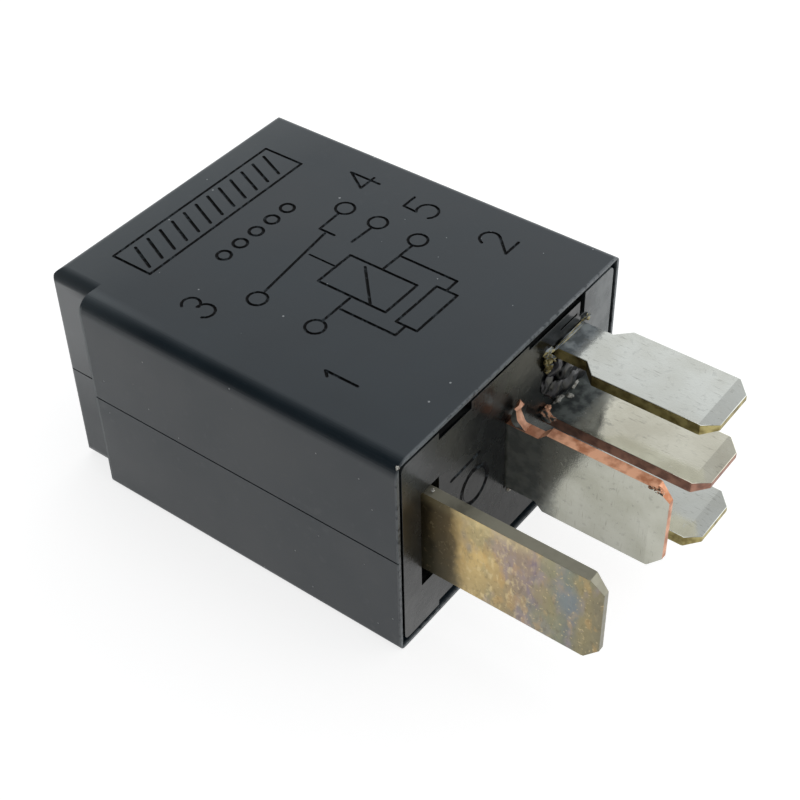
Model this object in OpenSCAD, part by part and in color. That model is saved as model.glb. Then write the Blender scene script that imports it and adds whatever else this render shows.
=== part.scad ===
// Automotive micro relay, changeover type, with five blade terminals.
// It lies on its large flat side. +X is the way the terminals point, +Z is up
// out of the marked face, and +Y is the side of the three small terminals.
// Modules are drawn about the open rim of the cover: x = 0 is the rim plane,
// negative x is inside. The last lines shift the whole part to its own origin.

/* [Cover] */
// Height of the cover, from closed end to open rim
cover_l = 27; // [24:0.5:32]
// Long side of the relay's footprint
cover_w = 22.5; // [21.5:0.1:26]
// Short side of the relay's footprint
cover_h = 15.3; // [14.6:0.1:18]
// Wall of the cover
wall = 1; // [0.8:0.05:1.3]
// Wall of the cover where it goes round the base
rim_wall = 0.45; // [0.4:0.05:0.75]
// Width of the flat that the lead-in leaves at the rim
rim_land = 0.25; // [0.1:0.05:0.35]
// Depth of the lead-in, which leaves a dark gap round the base
lead_in = 1.2; // [0.4:0.1:1.6]
// Length of the set-back at the closed end
step_l = 3.4; // [2:0.1:5]
// Depth of the set-back
step_d = 1.05; // [0.5:0.05:1.4]
// Rounding between the marked face and the near side
near_r = 1; // [0.4:0.1:2]
// Rounding of the upright edge where the set-back meets the closed end
strip_r = 0.4; // [0.2:0.05:0.9]
// Rounding of the other long edges
edge_r = 0.5; // [0.2:0.05:0.9]
// Rounding of the closed end's edges
end_r = 0.45; // [0.2:0.05:0.9]
// Rounding of the closed end's other upright edge
corner_r = 0.9; // [0.4:0.1:1.6]
// Rounding of the set-back's lower edge
strip_low_r = 0.9; // [0.4:0.1:1.6]
// Height of the moulding's parting line above the resting face
parting_z = 7.7; // [5:0.1:10]

/* [Base] */
// Thickness of the base plate
base_t = 2.95; // [2.3:0.05:3.4]
// How far the base plate lies below the rim
base_recess = 0.05; // [0:0.05:0.4]
// Rounding of the base plate's corners
base_r = 0.45; // [0.2:0.05:0.8]
// Pocket of the common terminal: its room on the near side
pocket_near = 0.65; // [0.3:0.05:0.8]
// Its room on the far side
pocket_far = 0.25; // [0.1:0.05:0.4]
// Its room past the terminal's edges
pocket_end = 0.65; // [0.3:0.05:0.8]
// Depth of that pocket
pocket_d = 1.5; // [0.8:0.1:1.8]
// Length of the notch in the base's upper edge
notch_l = 3.1; // [2:0.1:4.5]
// Depth of the notch, down from the edge
notch_h = 0.55; // [0.4:0.05:1.2]
// Depth of the second, longer notch
notch_low = 0.35; // [0.2:0.05:0.6]
// Height of the relief along the base's lower edge
relief_h = 0.4; // [0.2:0.05:0.7]

/* [Terminals] */
// Sheet thickness of every terminal
blade_t = 0.8; // [0.7:0.05:0.9]
// Width of the two load blades
blade_wide = 6.3; // [6:0.1:6.6]
// Width of the three small blades
blade_small = 4.8; // [4.6:0.1:5]
// Reach of terminal 3 beyond the rim
out_3 = 11.3; // [9:0.1:13]
// Reach of terminal 5 beyond the rim
out_5 = 10.7; // [9:0.1:13]
// Reach of terminals 1, 2 and 4 beyond the rim
out_small = 11; // [9:0.1:13]
// Terminal 3, the common one: its middle from the near side of the cover
inset_3 = 3.26; // [3.15:0.01:3.45]
// Terminal 5: place across the relay
y_5 = -0.18; // [-0.6:0.02:0.4]
// Terminals 1, 2 and 4: their middle from the far side of the cover
inset_small = 5.35; // [5.05:0.05:5.65]
// Terminals 1 and 2: their middle plane from the cover's flat sides
edge_small = 3.02; // [2.8:0.01:3.1]
// Width of terminal 5's neck
neck_5 = 5.2; // [4.6:0.1:5.8]
// Width of the necks of terminals 1 and 2
neck_small = 3; // [2.4:0.1:3.6]
// Length of a neck, from the rim to the shoulder
neck_l = 2.1; // [1.6:0.1:2.8]
// Chamfer of a blade's corners at its tip
tip_c = 0.85; // [0.4:0.05:1.2]
// Length of the bevel that thins the tip
bevel_l = 1; // [0.5:0.1:1.6]
// Thickness at the tip
tip_t = 0.42; // [0.25:0.01:0.6]

/* [Magnet] */
// Thickness of the yoke
yoke_t = 1.2; // [1:0.1:1.4]
// How far the yoke's sides reach past the winding
yoke_past = 0.09; // [0:0.01:0.3]
// Thickness of the armature
armature_t = 1.2; // [0.9:0.1:1.5]
// How much narrower the armature is than the yoke, each side
armature_in = 0.3; // [0.1:0.05:0.8]
// Radius of the core, as a share of the winding's
core_part = 0.51; // [0.42:0.01:0.56]
// Radius of the pole face
pole_r = 3.6; // [3.1:0.1:4]
// Thickness of the pole head
pole_t = 0.8; // [0.6:0.05:1.1]
// Radius of the core's end that is staked in the yoke
stake_r = 1.5; // [1.2:0.1:1.7]
// Wall of the bobbin's tube
tube_t = 0.65; // [0.5:0.05:0.9]
// Thickness of the bobbin's flanges
flange_t = 0.9; // [0.7:0.05:1.2]
// How far the winding stays inside the flanges' edge
winding_inset = 0.75; // [0.4:0.05:1.1]
// Angle that the armature swings through, in degrees
swing = 3; // [2.4:0.1:3.4]

/* [Contacts] */
// Thickness of the leaf spring
leaf_t = 0.2; // [0.12:0.01:0.25]
// Width of the leaf spring at the armature
leaf_w = 5.6; // [4.4:0.2:6]
// Width of the leaf spring at the contact
leaf_tip_w = 3.2; // [2.8:0.1:4]
// Inner radius of the leaf spring's bend
leaf_bend = 1; // [1:0.05:1.2]
// Radius of a contact
contact_r = 1.15; // [0.9:0.05:1.25]
// Thickness of a contact
contact_t = 0.45; // [0.3:0.05:0.55]
// Inner radius of the terminals' bends
bend_r = 0.3; // [0.2:0.05:0.4]
// Radius of the resistor across the coil
resistor_r = 1.15; // [0.8:0.05:1.25]
// Length of the resistor
resistor_l = 6.3; // [4:0.1:7]

/* [Hidden] */
$fn = 96;
eps = 0.01;           // overlap of a cutting tool past the face it cuts
fit = 0.02;           // gap between pieces that lie on each other
slot_gap = 0.04;      // gap round a blade in the base
base_gap = 0.06;      // gap between the base and the cover
zc = cover_h / 2;     // height of the relay's middle plane
rim_x = (cover_l - max(out_3, out_5, out_small)) / 2;   // place of the rim along the whole relay

// depths from the rim, growing inward
d_base = base_recess + base_t;
d_inner = cover_l - wall;
d_step = cover_l - step_l;
tail_t = 0.25;                                          // tail of a fixed contact behind its arm
tail_r = 0.95;

// across the relay
y_3 = inset_3 - cover_w / 2;
y_small = cover_w / 2 - inset_small;
notch_y = y_3 + blade_t / 2 + pocket_far;               // the notch starts level with the pocket
yoke_out = y_3 + blade_t / 2 + fit;
yoke_in = yoke_out + yoke_t;
wing_in = cover_w / 2 - wall - 0.35 - blade_t;          // terminal 4's riser along the far wall
contact_y = wing_in - bend_r - contact_r - 0.55;
riser_in = contact_y - contact_r - bend_r - 0.05 - blade_t;   // terminal 5's riser
flange_lo = yoke_in + 0.12;
flange_hi = riser_in - 0.13;
coil_y = (flange_lo + flange_hi) / 2;
flange_w = flange_hi - flange_lo;
flange_h = cover_h - 2 * wall - 2.1;
winding_r = min(flange_w, flange_h) / 2 - winding_inset;
core_r = core_part * winding_r;
tube_r = core_r + 0.08;
yoke_w = 2 * (winding_r + yoke_past);
armature_w = yoke_w - 2 * armature_in;
tape_t = 0.12;
leaf_y = y_3 - blade_t / 2 - fit;                       // inner face of the spring along terminal 3

// the armature's hinge line, on the end of the yoke
hinge_y = yoke_out + 0.17;
arm_reach = contact_y - hinge_y;
residual = 0.08;                                        // air gap left when the armature is pulled in
leaf_up = armature_t + fit;                             // spring above the armature's pole side
nc_face = leaf_up + leaf_t + contact_t + arm_reach * sin(swing) + contact_r * sin(swing) + 0.03;
head_room = residual + nc_face + contact_t + blade_t + tail_t + 0.6;
d_pole = d_inner - head_room;                           // pole face and end of the yoke
d_hinge = d_pole + residual;
no_face = leaf_up - contact_t - fit;                    // open contact's face, above the hinge

d_foot = d_base + fit;
d_flange = d_foot + yoke_t + 0.05;
d_head = d_pole - 0.05 - pole_t;
d_flange_top = d_head - 0.05 - flange_t;

// terminals inside
z_small = zc - edge_small;
d_run = d_base - 1.5;                                   // terminal 5's run inside the base
run_z0 = 0.75;
run_z1 = 3.75;
arm_half = 2.5;                                         // half the width of a contact arm at its bend
arm_tip = 1.5;                                          // half its width at the contact
arm_past = 0.1;                                         // arm's end past the contact
hole_r = 0.62;                                          // hole for a rivet or a contact
foot_l = 1.25;                                          // terminal 4's foot above the base
clear_foot = 3.6;                                       // terminal 5's riser widens past that foot
riser_up = 1.6;
tag_l = 2.2;                                            // tags of terminals 1 and 2 above the base
finger_l = 1.9;
tag_root = 0.6;                                         // tags start inside the base
tag_y0 = y_small;
tag_y1 = y_small + blade_small / 2;
finger_w = 0.9;
resistor_y = (riser_in + blade_t + wing_in) / 2;
resistor_d = d_flange + flange_t + 3;
lead_r = 0.28;
wire_r = 0.1;
d_rivet = d_flange + 4;
rivet_half = 1.9;                                       // half the distance between a pair of rivets
arm_rivet_y = (hinge_y + coil_y) / 2 - 0.3;
shank_r = 0.6;                                          // rivets: shank, head, upset end
head_r = 1.05;
head_t = 0.35;
head_flat = 0.7;
head_rim = 0.12;
upset_r = 1;
upset_t = 0.33;
sink_r = 1.02;                                          // countersink for the upset end
sink_t = 0.35;
seal_end = 0.7;                                         // resin in the relief stops short of the corner
seal_in = 0.3;                                          // its depth under the base's face
seal_t = 0.4;
lead_bend = 0.6;                                        // bend of the resistor's leads
cap_t = 0.2;                                            // resistor's caps
cap_l = 0.9;
waist = 1.2;                                            // resistor's thicker ends
waist_slope = 0.3;
lead_end = 0.5;                                         // leads stop above the base
ring_r = 0.74;                                          // wire round a finger
ring_step = 0.18;

// ---------------------------------------------------------------- helpers

// a rectangle with its four corners rounded: ll, lr, ul, ur
module rounded(x0, y0, x1, y1, ll, lr, ul, ur) {
    module bite(x, y, sx, sy, r) {
        translate([x, y]) scale([sx, sy]) difference() {
            translate([-1, -1]) square(r + 1);
            translate([r, r]) circle(r);
            translate([r, -2]) square(r + 4);
            translate([-2, r]) square(r + 4);
        }
    }
    difference() {
        translate([x0, y0]) square([x1 - x0, y1 - y0]);
        bite(x0, y0, 1, 1, ll);
        bite(x1, y0, -1, 1, lr);
        bite(x0, y1, 1, -1, ul);
        bite(x1, y1, -1, -1, ur);
    }
}

// a quarter of a ring about c; sx, sy say which quarter
module quarter(c, r, t, sx, sy) {
    translate(c) intersection() {
        difference() { circle(r + t); circle(r); }
        scale([sx, sy]) square(r + t + 1);
    }
}

// profile in depth and y, extruded in z from z0 to z1 about the middle plane
module along_z(z0, z1) {
    translate([0, 0, zc + z0]) linear_extrude(z1 - z0) mirror([1, 0]) children();
}

// profile in y and z, extruded in depth from d0 to d1
module along_x(d0, d1) {
    translate([-d1, 0, 0]) rotate([90, 0, 90]) linear_extrude(d1 - d0) children();
}

// profile in depth and z (about the middle plane), extruded from y0 to y1
module along_y(y0, y1) {
    translate([0, y1, zc]) rotate([90, 0, 0]) linear_extrude(y1 - y0) mirror([1, 0]) children();
}

// rod along the depth
module rod(d0, d1, y, z, r) {
    translate([-d1, y, z]) rotate([0, 90, 0]) cylinder(h = d1 - d0, r = r);
}

// a flat rectangle by its corners
module rect(x0, y0, x1, y1) {
    translate([x0, y0]) square([x1 - x0, y1 - y0]);
}

// what swings: drawn pulled in, turned back to rest
module at_rest() {
    translate([-d_hinge, hinge_y, 0]) rotate([0, 0, swing]) translate([d_hinge, -hinge_y, 0]) children();
}

// outline of a blade across its width w, from the rim out to reach, with a neck
module blade_outline(w, reach, neck, inner) {
    c = tip_c;
    s = (w - neck) / 2;
    polygon([[inner, -neck / 2], [-neck_l, -neck / 2], [-neck_l - s, -w / 2], [-reach + c, -w / 2],
             [-reach, -w / 2 + c], [-reach, w / 2 - c], [-reach + c, w / 2], [-neck_l - s, w / 2],
             [-neck_l, neck / 2], [inner, neck / 2]]);
}

// thickness of a blade seen from its edge: thinned at the tip
module blade_edge(reach, inner) {
    t = blade_t / 2;
    polygon([[inner, -t], [-reach + bevel_l, -t], [-reach, -tip_t / 2], [-reach, tip_t / 2],
             [-reach + bevel_l, t], [inner, t]]);
}

// ---------------------------------------------------------------- housing

module cover_body() {
    w = cover_w / 2;
    h = cover_h;
    // the long part, open at the rim
    along_x(0, d_step) rounded(-w, 0, w, h, edge_r, edge_r, near_r, edge_r);
    // the closed end, set back on its near side
    intersection() {
        along_x(d_step - eps, cover_l) rounded(-w + step_d, 0, w, h, strip_low_r, edge_r, near_r, edge_r);
        linear_extrude(h) rounded(-cover_l, -w + step_d, 1, w, strip_r, 0.01, corner_r, 0.01);
        translate([0, w, 0]) rotate([90, 0, 0]) linear_extrude(cover_w)
            rounded(-cover_l, 0, 1, h, end_r, 0.01, end_r, 0.01);
    }
}

module cover() {
    w = cover_w / 2;
    line = 0.05;
    color([0.09, 0.1, 0.11]) difference() {
        cover_body();
        // the seat of the base
        along_x(-eps, d_base) rect(-w + rim_wall, rim_wall, w - rim_wall, cover_h - rim_wall);
        // the room for the works, which follows the set-back
        along_x(-eps, d_step - wall) rounded(-w + wall, wall, w - wall, cover_h - wall, 0.3, 0.3, 0.3, 0.3);
        along_x(d_step - wall - eps, d_inner)
            rounded(-w + wall + step_d, wall, w - wall, cover_h - wall, 0.3, 0.3, 0.3, 0.3);
        // lead-in round the rim
        intersection() {
            along_z(-zc, zc) polygon([[-eps, -w + rim_land - eps], [lead_in, -w + rim_wall], [lead_in, w - rim_wall], [-eps, w - rim_land + eps]]);
            along_y(-w, w) polygon([[-eps, -zc + rim_land - eps], [lead_in, -zc + rim_wall], [lead_in, zc - rim_wall], [-eps, zc - rim_land + eps]]);
        }
        // parting line along both sides, the set-back and the closed end
        for (s = [-1, 1]) translate([-cover_l, s * w - line, parting_z - line]) cube([cover_l + 1, 2 * line, 2 * line]);
        translate([-cover_l, -w + step_d - line, parting_z - line]) cube([step_l, 2 * line, 2 * line]);
        translate([-cover_l - line, -w, parting_z - line]) cube([2 * line, cover_w, 2 * line]);
    }
}

// the shape that terminal 5 takes up inside the base, with g all round
module insert_5(g) {
    y0 = y_5 - blade_t / 2;
    along_z(run_z0 - g, run_z1 + g) {
        rect(d_run - g, y0 - g, d_run + blade_t + g, riser_in + blade_t + g);
        rect(d_run - bend_r - g, y0 - g, d_run, y0 + blade_t + bend_r + g);
        rect(d_run - g, riser_in - bend_r - g, d_base + 1, riser_in + blade_t + g);
    }
}

module base() {
    w = cover_w / 2 - rim_wall - base_gap;
    z0 = rim_wall + base_gap;
    z1 = cover_h - z0;
    gap = slot_gap;
    t = blade_t / 2;
    pocket_h = blade_wide / 2 + pocket_end;
    groove_y = y_small + neck_small / 2 - 0.4;
    face = base_recess;
    color([0.13, 0.15, 0.14]) difference() {
        union() {
            along_x(face, d_base) rounded(-w, z0, w, z1, base_r, base_r, base_r, base_r);
            // ribs that centre the base in the cover and guide the bobbin
            for (s = [-1, 1]) along_y(-cover_w / 2 + wall + 1, riser_in + blade_t)
                polygon([[d_base - eps, s * (zc - wall - base_gap)], [d_base + 1.1, s * (zc - wall - base_gap)],
                         [d_base + 1.4, s * (zc - wall - base_gap - 0.3)], [d_base + 1.4, s * (zc - wall - 0.9)],
                         [d_base - eps, s * (zc - wall - 0.9)]]);
        }
        // pocket round terminal 3, then its slot
        along_x(face - 1, face + pocket_d)
            rect(y_3 - t - pocket_near, zc - pocket_h, y_3 + t + pocket_far, zc + pocket_h);
        along_x(face, d_base + 2) rect(y_3 - t - gap, zc - blade_wide / 2 - gap, y_3 + t + gap, zc + blade_wide / 2 + gap);
        // terminal 5: an open slit on its near side, and its bent insert
        along_x(face - 1, d_run + bend_r) rect(y_5 - t - gap, zc - neck_5 / 2 - gap, y_5 + t + gap, zc + neck_5 / 2 + gap);
        along_x(face - 1, face + 0.5) rect(y_5 - t - 0.14, zc - neck_5 / 2 - 0.1, y_5 + t, zc + neck_5 / 2 + 0.1);
        insert_5(gap);
        // terminals 1, 2 and 4
        for (s = [-1, 1]) {
            along_x(face - 1, d_base + 2) rect(y_small - neck_small / 2 - gap, zc + s * z_small - t - gap,
                y_small + neck_small / 2 + gap, zc + s * z_small + t + gap);
            along_x(d_base - tag_root, d_base + 2) rect(tag_y0 - gap, zc + s * z_small - t - gap,
                tag_y1 + gap, zc + s * z_small + t + gap);
        }
        along_x(face - 1, d_base + 2)
            rect(y_small - blade_small / 2 - gap, zc - t - gap, y_small + blade_small / 2 + gap, zc + t + gap);
        // notches in the upper edge: beside the pocket, and from terminal 5 to the groove
        along_x(face - 1, face + 1.8) rect(notch_y, z1 - notch_h, notch_y + notch_l, z1 + 1);
        along_x(face - 1, face + 1.5) rect(groove_y - 5.5, z1 - notch_low, groove_y, z1 + 1);
        // groove from the upper edge towards terminal 2, and the tool mark beside it
        along_x(face - 1, face + 1.5) rect(groove_y - eps, zc + z_small + t + 0.6, groove_y + 0.5, z1 + 1);
        along_x(face - 1, face + 0.3) rect(y_small - 1, z1 - 1.2, y_small + 0.8, z1 - 1.05);
        // mark of an ejector pin
        difference() {
            rod(face - 1, face + 0.06, (y_3 + y_5) / 2 + 0.3, zc + 0.25, 1.3);
            rod(face - 2, face + 1, (y_3 + y_5) / 2 + 0.3, zc + 0.25, 1.17);
        }
        // relief along the lower edge, for the seal
        along_x(face - 1, face + seal_in + seal_t) rect(notch_y, z0 - 1, w - seal_end, z0 + relief_h);
    }
}

module sealant() {
    w = cover_w / 2 - rim_wall - base_gap;
    z0 = rim_wall + base_gap;
    color([0.03, 0.03, 0.035]) along_x(base_recess + seal_in, base_recess + seal_in + seal_t - fit)
        rect(notch_y + fit, z0, w - seal_end - fit, z0 + relief_h - fit);
}

// ---------------------------------------------------------------- terminals

// coil terminals: s = -1 is terminal 1, s = 1 is terminal 2
module terminal_coil(s) {
    z = s * z_small;
    d_tag = d_base + tag_l;
    t = blade_t / 2;
    color([0.78, 0.76, 0.7]) {
        // a blade lies flat, so its outline is seen from above
        intersection() {
            along_z(z - t, z + t) translate([0, y_small]) blade_outline(blade_small, out_small, neck_small, d_base);
            along_y(0, cover_w / 2) translate([0, z]) blade_edge(out_small, d_base + 1);
        }
        // tag for the resistor, and the finger that the winding's end is wound on
        along_z(z - t, z + t) polygon([[d_base - tag_root, tag_y0], [d_tag + finger_l, tag_y0],
            [d_tag + finger_l, tag_y0 + finger_w], [d_tag, tag_y0 + finger_w], [d_tag, tag_y1], [d_base - tag_root, tag_y1]]);
    }
}

module terminal_1() { terminal_coil(-1); }
module terminal_2() { terminal_coil(1); }

// the common terminal: one straight blade that runs up along the yoke
module terminal_3() {
    d_end = d_rivet + 2.4;
    color([0.55, 0.52, 0.42]) difference() {
        intersection() {
            along_y(y_3 - blade_t, y_3 + blade_t) polygon([
                [d_end, -blade_wide / 2 + 0.6], [d_end - 0.6, -blade_wide / 2], [-out_3 + tip_c, -blade_wide / 2],
                [-out_3, -blade_wide / 2 + tip_c], [-out_3, blade_wide / 2 - tip_c], [-out_3 + tip_c, blade_wide / 2],
                [d_end - 0.6, blade_wide / 2], [d_end, blade_wide / 2 - 0.6]]);
            along_z(-blade_wide, blade_wide) translate([0, y_3]) blade_edge(out_3, d_end + 1);
        }
        for (s = [-1, 1]) translate([-d_rivet, y_3, zc + s * rivet_half]) rotate([90, 0, 0])
            cylinder(h = 4 * blade_t, r = hole_r, center = true);
    }
}

// the resting contact's terminal: blade, foot, riser along the far wall, arm over the contact
module terminal_4() {
    t = blade_t / 2;
    wing = arm_half;
    d_arm = d_hinge + nc_face + contact_t;
    foot_top = d_base + foot_l;
    cy = y_rest();
    color([0.78, 0.74, 0.7]) difference() {
        union() {
            // blade and foot, in one flat piece
            intersection() {
                along_z(-t, t) union() {
                    translate([0, y_small]) blade_outline(blade_small, out_small, blade_small, d_base - 0.8);
                    polygon([[d_base - 1, y_small - 0.6], [foot_top, y_small - 0.6], [foot_top, wing_in - bend_r],
                        [d_base + fit, wing_in - bend_r], [d_base + fit, y_small + blade_small / 2],
                        [d_base - 1, y_small + blade_small / 2]]);
                }
                along_y(0, cover_w / 2) blade_edge(out_small, foot_top + 1);
            }
            // the foot turns up into the riser
            along_x(d_base + fit, foot_top) {
                quarter([wing_in - bend_r, zc + t + bend_r], bend_r, blade_t, 1, -1);
                rect(wing_in, zc + t + bend_r, wing_in + blade_t, zc + wing);
            }
            // riser
            along_y(wing_in, wing_in + blade_t) polygon([
                [foot_top - eps, t + bend_r], [foot_top - eps, wing], [d_arm - bend_r, wing], [d_arm - bend_r, -wing],
                [foot_top + 2 * blade_t, -wing], [foot_top + blade_t, -wing + blade_t], [foot_top + blade_t / 2, t + bend_r]]);
            // bend and arm, narrowed towards the contact
            intersection() {
                along_z(-wing, wing) union() {
                    quarter([d_arm - bend_r, wing_in - bend_r], bend_r, blade_t, 1, 1);
                    rect(d_arm, cy - contact_r - arm_past, d_arm + blade_t, wing_in - bend_r);
                }
                along_x(0, cover_l) polygon([[wing_in + 2, zc - wing], [wing_in - 1, zc - wing],
                    [cy - contact_r - arm_past, zc - arm_tip], [cy - contact_r - arm_past, zc + arm_tip], [wing_in - 1, zc + wing], [wing_in + 2, zc + wing]]);
            }
        }
        rod(d_arm - 1, d_arm + 2, cy, zc, hole_r);
    }
}

// the working contact's terminal: blade, run inside the base, riser beside the coil, arm under the contact
module terminal_5() {
    t = blade_t / 2;
    y0 = y_5 - t;
    y1 = y_5 + t;
    d_arm = d_hinge + no_face - contact_t - blade_t;
    color([0.8, 0.75, 0.7]) difference() {
        union() {
            // blade up to the first bend
            intersection() {
                along_y(y0, y1) blade_outline(blade_wide, out_5, neck_5, d_run - bend_r);
                along_z(-blade_wide, blade_wide) translate([0, y_5]) blade_edge(out_5, d_run);
            }
            // bend, run and bend inside the base
            along_z(run_z0, neck_5 / 2) quarter([d_run - bend_r, y1 + bend_r], bend_r, blade_t, 1, -1);
            along_y(y1 + bend_r - eps, riser_in - bend_r + eps) polygon([[d_run, run_z0], [d_run + blade_t, run_z0],
                [d_run + blade_t, run_z1], [d_run, run_z1]]);
            along_z(run_z0, run_z1) quarter([d_run + blade_t + bend_r, riser_in - bend_r], bend_r, blade_t, -1, 1);
            // riser, wider above the foot of terminal 4
            along_y(riser_in, riser_in + blade_t) polygon([
                [d_run + blade_t + bend_r, run_z0], [d_base + riser_up, run_z0], [d_base + riser_up, -arm_half],
                [d_arm - bend_r, -arm_half], [d_arm - bend_r, arm_half], [d_base + clear_foot, arm_half],
                [d_base + riser_up, run_z1], [d_run + blade_t + bend_r, run_z1]]);
            // bend and arm
            intersection() {
                along_z(-arm_half, arm_half) union() {
                    quarter([d_arm - bend_r, riser_in + blade_t + bend_r], bend_r, blade_t, 1, -1);
                    rect(d_arm, riser_in + blade_t + bend_r, d_arm + blade_t, contact_y + contact_r + arm_past);
                }
                along_x(0, cover_l) polygon([[riser_in - 1, zc - arm_half], [riser_in + blade_t + 1, zc - arm_half],
                    [contact_y + contact_r + arm_past, zc - arm_tip], [contact_y + contact_r + arm_past, zc + arm_tip],
                    [riser_in + blade_t + 1, zc + arm_half], [riser_in - 1, zc + arm_half]]);
            }
        }
        rod(d_arm - 1, d_arm + 2, contact_y, zc, hole_r);
    }
}

// where the moving contact's centre lies across the relay while at rest
function y_rest() = hinge_y + arm_reach * cos(swing) - (leaf_up + leaf_t + contact_t) * sin(swing);

// ---------------------------------------------------------------- magnet

module yoke() {
    w = yoke_w / 2;
    r = 0.4;
    foot_end = coil_y + pole_r;
    color([0.7, 0.7, 0.68]) difference() {
        union() {
            along_z(-w, w) union() {
                quarter([d_foot + yoke_t + r, yoke_in + r], r, yoke_t, -1, -1);
                rect(d_foot + yoke_t + r, yoke_out, d_pole, yoke_in);
                rect(d_foot, yoke_in + r, d_foot + yoke_t, foot_end - 1.5);
            }
            along_x(d_foot, d_foot + yoke_t) polygon([[foot_end - 1.5 - eps, zc - w], [foot_end - 0.5, zc - w],
                [foot_end, zc - w + 0.5], [foot_end, zc + w - 0.5], [foot_end - 0.5, zc + w], [foot_end - 1.5 - eps, zc + w]]);
        }
        rod(d_foot - 1, d_foot + yoke_t + 1, coil_y, zc, stake_r + fit);
        for (s = [-1, 1]) {
            translate([-d_rivet, yoke_out, zc + s * rivet_half]) rotate([90, 0, 0]) cylinder(h = 4 * yoke_t, r = hole_r, center = true);
            translate([-d_rivet, yoke_in - sink_t, zc + s * rivet_half]) rotate([-90, 0, 0]) cylinder(h = 2, r = sink_r);
        }
        // the hinge end is bevelled away from the armature's seat
        along_z(-w - 1, w + 1) polygon([[d_pole + eps, yoke_in - 0.4], [d_pole + eps, yoke_in + 1], [d_pole - 0.6, yoke_in + 1], [d_pole - 0.4, yoke_in]]);
    }
}

module core() {
    color([0.62, 0.62, 0.6]) translate([0, coil_y, zc]) rotate([0, -90, 0]) rotate_extrude() polygon([
        [0, d_foot], [stake_r, d_foot], [stake_r, d_foot + yoke_t + fit], [core_r, d_foot + yoke_t + fit],
        [core_r, d_head], [pole_r, d_head], [pole_r, d_pole - 0.2], [pole_r - 0.2, d_pole], [0, d_pole]]);
}

module bobbin() {
    c = 1.1;
    module flange() {
        polygon([[flange_lo + c, zc - flange_h / 2], [flange_hi - c, zc - flange_h / 2], [flange_hi, zc - flange_h / 2 + c],
                 [flange_hi, zc + flange_h / 2 - c], [flange_hi - c, zc + flange_h / 2], [flange_lo + c, zc + flange_h / 2],
                 [flange_lo, zc + flange_h / 2 - c], [flange_lo, zc - flange_h / 2 + c]]);
    }
    color([0.86, 0.84, 0.76]) difference() {
        union() {
            along_x(d_flange, d_flange + flange_t) flange();
            along_x(d_flange_top, d_flange_top + flange_t) flange();
            rod(d_flange, d_flange_top + flange_t, coil_y, zc, tube_r + tube_t);
        }
        rod(d_flange - 1, d_flange_top + flange_t + 1, coil_y, zc, tube_r);
        // room for the inside of the yoke's bend
        along_z(-flange_h, flange_h) polygon([[d_flange - eps, flange_lo - eps], [d_flange + 0.4, flange_lo - eps], [d_flange - eps, flange_lo + 0.4]]);
        // lead-out slots of the winding
        for (s = [-1, 1]) along_x(d_flange + flange_t / 2, d_flange + flange_t + eps)
            rect(coil_y + 2.6, zc + s * (flange_h / 2 - 1.2) - 1.3, coil_y + 3.3, zc + s * (flange_h / 2 - 1.2) + 1.3);
    }
}

module winding() {
    color([0.72, 0.36, 0.16]) difference() {
        rod(d_flange + flange_t + fit, d_flange_top - fit, coil_y, zc, winding_r);
        rod(d_flange, d_flange_top + 1, coil_y, zc, tube_r + tube_t + fit);
    }
}

module coil_tape() {
    a = d_flange + flange_t + 1.6;
    color([0.8, 0.62, 0.2]) difference() {
        rod(a, d_flange_top - 1, coil_y, zc, winding_r + fit + tape_t);
        rod(a - 1, d_flange_top + 1, coil_y, zc, winding_r + fit);
    }
}

module coil_leads() {
    yf = tag_y0 + finger_w / 2;
    a = 38;
    ys = coil_y + (winding_r + wire_r) * cos(a);
    zs = (winding_r + wire_r) * sin(a);
    ye = yf - (ring_r - 0.02) / 1.8;
    ze = z_small + ring_r - 0.02;
    dw = d_flange + flange_t + 0.6;
    len = sqrt((ye - ys) * (ye - ys) + (ze - zs) * (ze - zs));
    color([0.75, 0.4, 0.2]) for (s = [-1, 1]) translate([0, 0, zc]) {
        // straight from the winding to the finger
        translate([-dw, ys, s * zs]) rotate([s * atan2(ze - zs, ye - ys), 0, 0]) rotate([-90, 0, 0])
            cylinder(h = len, r = wire_r, $fn = 24);
        // three turns round the finger
        for (k = [0:2]) translate([-dw - (k - 1) * ring_step, yf, s * z_small]) rotate([0, 90, 0])
            rotate_extrude($fn = 48) translate([ring_r, 0]) circle(wire_r, $fn = 24);
    }
}

// ---------------------------------------------------------------- what swings

module armature() {
    w = armature_w / 2;
    y_end = coil_y + pole_r;
    color([0.66, 0.66, 0.64]) at_rest() difference() {
        along_x(d_hinge, d_hinge + armature_t) polygon([
            [hinge_y - 0.05, zc - w + 0.6], [hinge_y + 1.5, zc - w + 0.6], [hinge_y + 2.3, zc - w], [y_end - 1.8, zc - w],
            [y_end, zc - w + 1.8], [y_end, zc + w - 1.8], [y_end - 1.8, zc + w], [hinge_y + 2.3, zc + w],
            [hinge_y + 1.5, zc + w - 0.6], [hinge_y - 0.05, zc + w - 0.6]]);
        for (s = [-1, 1]) {
            rod(d_hinge - 1, d_hinge + armature_t + 1, arm_rivet_y, zc + s * rivet_half, hole_r);
            rod(d_hinge - 1, d_hinge + sink_t, arm_rivet_y, zc + s * rivet_half, sink_r);
        }
    }
}

// place in depth and y, at rest, of a point y across and h above the hinge when pulled in
function turned(y, h) = [d_hinge + (y - hinge_y) * sin(swing) + h * cos(swing),
                         hinge_y + (y - hinge_y) * cos(swing) - h * sin(swing)];

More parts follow.
